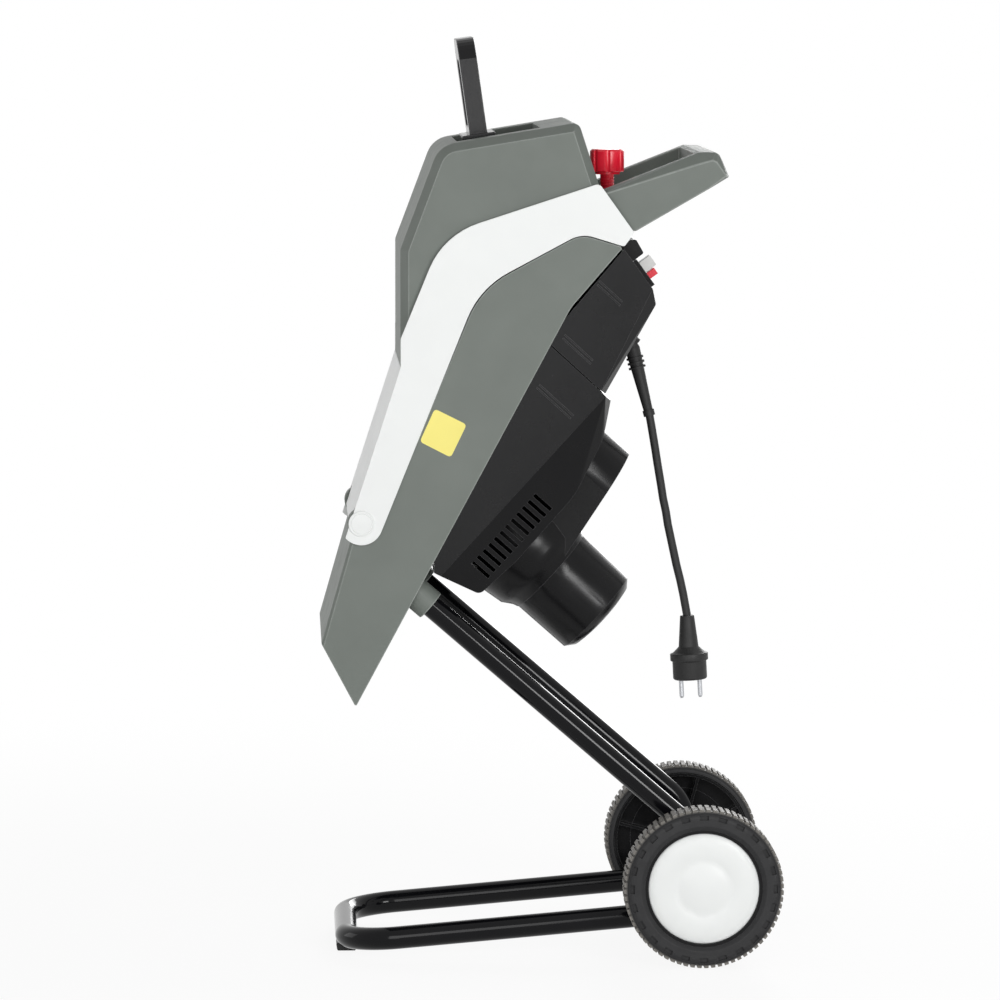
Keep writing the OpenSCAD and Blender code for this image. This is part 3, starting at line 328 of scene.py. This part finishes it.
# Moulded edges: node to bevel width in millimetres
EDGES = {
    "chute_shell": 1.2, "hopper_shell": 1.4, "left_arm": 1.4, "right_arm": 1.4, "rear_handle": 3.0,
    "motor_housing": 1.0, "switch_housing": 1.4, "switch_frame": 0.6, "start_button": 1.0, "stop_button": 1.0,
    "plunger_handle": 3.5, "plunger_stem": 1.0, "locking_knob": 0.7, "leg_sockets": 1.0,
    "left_tyre": 0.6, "right_tyre": 0.6, "left_rim": 0.6, "right_rim": 0.6, "feed_throat": 0.8,
    "front_cover": 0.8, "left_hub_cap": 0.5, "right_hub_cap": 0.5, "plug_body": 0.6,
}
EDGE_SEGMENTS = 3
# Degrees between faces: below the first they are merged, above the second their edge is rounded
FLAT_ANGLE = 0.4
EDGE_ANGLE = 34
WELD_REACH = 0.00002
# Nodes whose flat faces stay in triangles, because merging them closes an opening
UNMERGED = ("rear_handle",)
# Material of the rounded edge itself, lighter as a painted highlight: face material to edge material
EDGE_HIGHLIGHTS = {"grey_plastic": "grey_edge_highlight", "black_plastic": "black_edge_highlight"}


def soften_edges():
    for name, width in EDGES.items():
        obj = nodes[name]
        weld = obj.modifiers.new("weld", "WELD")
        weld.merge_threshold = WELD_REACH
        if name not in UNMERGED:
            flat = obj.modifiers.new("flat", "DECIMATE")
            flat.decimate_type = "DISSOLVE"
            flat.angle_limit = math.radians(FLAT_ANGLE)
        bevel = obj.modifiers.new("bevel", "BEVEL")
        bevel.width = width / MM_PER_M
        bevel.segments = EDGE_SEGMENTS
        bevel.limit_method = "ANGLE"
        bevel.angle_limit = math.radians(EDGE_ANGLE)
        bevel.use_clamp_overlap = True
        bevel.harden_normals = True
        # The rounded edges take the lighter copy of their material: a painted highlight
        tone = EDGE_HIGHLIGHTS.get(slot_of[name])
        if tone:
            bevel.material = len(obj.data.materials)
            obj.data.materials.append(materials[tone])


soften_edges()


def add_piece(name, mesh, material):
    """Painted object from a bmesh, which is used up."""
    bmesh.ops.recalc_face_normals(mesh, faces=mesh.faces)
    data = bpy.data.meshes.new(name)
    mesh.to_mesh(data)
    mesh.free()
    piece = bpy.data.objects.new(name, data)
    scene.collection.objects.link(piece)
    paint(piece, material)
    return piece


def skin(mesh, rings):
    """Faces between rings of vertices, and a cap on each end."""
    for a, b in zip(rings, rings[1:]):
        for k in range(len(a)):
            n = (k + 1) % len(a)
            mesh.faces.new((a[k], a[n], b[n], b[k]))
    mesh.faces.new(rings[0])
    mesh.faces.new(rings[-1])


# Label: a bare yellow sticker on the left side of the chute, with corners at x and z in millimetres
LABEL_CORNERS = [(-117, 559), (-85, 543), (-101, 510), (-132, 526)]
# Rounding of a corner: its reach in metres, and its steps
LABEL_R = 0.004
LABEL_STEPS = 6
# Reach of its face off the chute, and the share of that which it fills, so that its back clears the chute
LABEL_T = 0.00025
LABEL_FILL = 0.9


def add_label():
    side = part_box("chute_shell")[0][1]
    corners = [Vector((x / MM_PER_M, z / MM_PER_M)) for x, z in LABEL_CORNERS]
    outline = []
    for i, p in enumerate(corners):
        a = (corners[i - 1] - p).normalized()
        b = (corners[(i + 1) % len(corners)] - p).normalized()
        for k in range(LABEL_STEPS + 1):
            t = k / LABEL_STEPS
            outline.append(p + LABEL_R * ((1 - t) ** 2 * a + t ** 2 * b))
    face_y = side - LABEL_T
    back_y = face_y + LABEL_T * LABEL_FILL
    mesh = bmesh.new()
    skin(mesh, [[mesh.verts.new((p.x, y, p.y)) for p in outline] for y in (face_y, back_y)])
    label = add_piece("bare_label", mesh, "yellow_label")
    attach(label, "chassis")


add_label()


# Thread on the locking screw, in millimetres: radii off the knob's axis, half widths of foot and crest
SCREW_R = 7.0
THREAD_SINK = 0.3
THREAD_R = 7.36
THREAD_FOOT = 1.3
THREAD_CREST = 0.35
THREAD_PITCH = 3.0
# Turns, and the steps of one turn
THREAD_TURNS = 19
THREAD_STEPS = 24
# From the screw's lower end up to the thread's start, in metres
THREAD_START = 0.002


def add_thread():
    middle = middle_of("locking_knob")
    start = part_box("locking_knob")[0][2] + THREAD_START
    root = SCREW_R - THREAD_SINK
    profile = [(root, -THREAD_FOOT), (THREAD_R, -THREAD_CREST), (THREAD_R, THREAD_CREST), (root, THREAD_FOOT)]
    mesh = bmesh.new()
    rings = []
    for i in range(THREAD_TURNS * THREAD_STEPS + 1):
        a = 2 * math.pi * i / THREAD_STEPS
        rise = THREAD_PITCH * i / THREAD_STEPS
        ring = []
        for r, z in profile:
            x = middle[0] + r * math.cos(a) / MM_PER_M
            y = middle[1] + r * math.sin(a) / MM_PER_M
            ring.append(mesh.verts.new((x, y, start + (rise + z) / MM_PER_M)))
        rings.append(ring)
    skin(mesh, rings)
    thread = add_piece("screw_thread", mesh, "red_plastic")
    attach(thread, "lock_knob")


add_thread()


# Rubber pads under the front tube, in place of the feet, in millimetres
# Half outline from the floor up, off the pad's middle and above the floor
PAD_PROFILE = [(8.6, 0), (9.6, 1.2), (10.4, 6.0), (9.8, 7.4)]
# Length along the tube, and its steps
PAD_L = 34.0
PAD_STEPS = 8
# Hollow top along the tube: its radius, and its steps
PAD_TOP_R = 11.55
PAD_ARC = 8
# Tube's middle above the top of the solid feet
TUBE_ABOVE_FEET = 2.0


def pad_outline(tube_z):
    """Closed outline, bottom first, whose top lies against the tube."""
    last = math.asin(PAD_PROFILE[-1][0] / PAD_TOP_R)
    top = [last - 2 * last * k / PAD_ARC for k in range(1, PAD_ARC)]
    arc = [(PAD_TOP_R * math.sin(a), tube_z - PAD_TOP_R * math.cos(a)) for a in top]
    return PAD_PROFILE + arc + [(-x, z) for x, z in reversed(PAD_PROFILE)]


def add_pads():
    low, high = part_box("front_feet")
    middle = (low[0] + high[0]) / 2
    outline = pad_outline(high[2] * MM_PER_M + TUBE_ABOVE_FEET)
    mesh = bmesh.new()
    for side in (-1, 1):
        rings = []
        for k in range(PAD_STEPS + 1):
            y = high[1] * side - side * (PAD_L * k / PAD_STEPS) / MM_PER_M
            rings.append([mesh.verts.new((middle + x / MM_PER_M, y, z / MM_PER_M)) for x, z in outline])
        skin(mesh, rings)
    pads = add_piece("foot_pads", mesh, "black_rubber")
    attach(pads, "chassis")
    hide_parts("front_feet")


add_pads()


def background_rays(tree):
    """1 for the rays that show the white background: camera, glossy and transmission rays."""
    path = tree.nodes.new("ShaderNodeLightPath")
    total = path.outputs["Is Camera Ray"]
    for name in ("Is Glossy Ray", "Is Transmission Ray"):
        either = tree.nodes.new("ShaderNodeMath")
        either.operation = "MAXIMUM"
        tree.links.new(total, either.inputs[0])
        tree.links.new(path.outputs[name], either.inputs[1])
        total = either.outputs["Value"]
    return total


# Floor: half its side in metres, and its surface
FLOOR_HALF = 2.4
FLOOR_COLOUR = (0.93, 0.93, 0.93)
FLOOR_ROUGH = 0.6
FLOOR_TONE = (2, 0.01)
# Share of plain white that the background's rays see in the floor: FLOOR_WHITE up to FLOOR_NEAR metres from
# the frame's origin, then more, and all from FLOOR_FAR metres on
FLOOR_WHITE = 0.9
FLOOR_NEAR = 0.5
FLOOR_FAR = 2.2


def add_floor():
    data = bpy.data.meshes.new("floor")
    corners = [(x * FLOOR_HALF, y * FLOOR_HALF, 0.0) for x, y in ((-1, -1), (1, -1), (1, 1), (-1, 1))]
    data.from_pydata(corners, [], [(0, 1, 2, 3)])
    floor = bpy.data.objects.new("floor", data)
    scene.collection.objects.link(floor)
    shader = Shader("floor_white", FLOOR_COLOUR, FLOOR_ROUGH)
    shader.tone(*FLOOR_TONE)
    reach = shader.node("ShaderNodeVectorMath", operation="LENGTH")
    fade = shader.node("ShaderNodeMapRange", interpolation_type="SMOOTHSTEP")
    fade.inputs["From Min"].default_value = FLOOR_NEAR
    fade.inputs["From Max"].default_value = FLOOR_FAR
    fade.inputs["To Min"].default_value = FLOOR_WHITE
    shader.link(shader.place, reach.inputs[0])
    shader.link(reach.outputs["Value"], fade.inputs["Value"])
    share = shader.node("ShaderNodeMath", operation="MULTIPLY")
    shader.link(background_rays(shader.tree), share.inputs[0])
    shader.link(fade.outputs["Result"], share.inputs[1])
    white = shader.node("ShaderNodeEmission")
    mix = shader.node("ShaderNodeMixShader")
    shader.link(share.outputs["Value"], mix.inputs["Fac"])
    shader.link(shader.bsdf.outputs["BSDF"], mix.inputs[1])
    shader.link(white.outputs["Emission"], mix.inputs[2])
    shader.link(mix.outputs["Shader"], shader.tree.nodes["Material Output"].inputs["Surface"])
    data.materials.append(shader.material)


# Strength of the world's light on the object, and of the background that its rays show
WORLD_LIGHT = 0.3
WORLD_WHITE = 1.0


def add_world():
    world = bpy.data.worlds.new("studio")
    scene.world = world
    world.use_nodes = True
    tree = world.node_tree
    tree.nodes.clear()
    mix = tree.nodes.new("ShaderNodeMixShader")
    tree.links.new(background_rays(tree), mix.inputs["Fac"])
    for socket, strength in ((1, WORLD_LIGHT), (2, WORLD_WHITE)):
        background = tree.nodes.new("ShaderNodeBackground")
        background.inputs["Color"].default_value = (1.0, 1.0, 1.0, 1.0)
        background.inputs["Strength"].default_value = strength
        tree.links.new(background.outputs["Background"], mix.inputs[socket])
    out = tree.nodes.new("ShaderNodeOutputWorld")
    tree.links.new(mix.outputs["Shader"], out.inputs["Surface"])


# Lamps, all aimed near the machine's middle: place and size in metres, and power in watts
LAMP_AIM = (0, 0, 0.5)
LAMPS = {
    # Main light, from the camera's side and the rear
    "key": ((1.3, -2.9, 1.0), (0.9, 0.6), 36),
    # Soft light from the camera's side, a little to the front
    "fill": ((-0.6, -3.3, 0.95), (1.4, 1.4), 27),
    # Light on the far side and the back
    "rim": ((0.9, 3.0, 1.0), (1.4, 1.4), 34),
    # Weak light on the front
    "front": ((-3.0, 0.8, 1.0), (1.4, 1.4), 10),
}


def add_lamp(name, place, size, power):
    data = bpy.data.lights.new(name, "AREA")
    data.shape = "RECTANGLE"
    data.size, data.size_y = size
    data.energy = power
    lamp = bpy.data.objects.new(name, data)
    lamp.location = place
    lamp.rotation_euler = (Vector(LAMP_AIM) - Vector(place)).to_track_quat("-Z", "Y").to_euler()
    scene.collection.objects.link(lamp)


add_floor()
add_world()
for name, lamp in LAMPS.items():
    add_lamp(name, *lamp)

scene.view_settings.view_transform = "Standard"
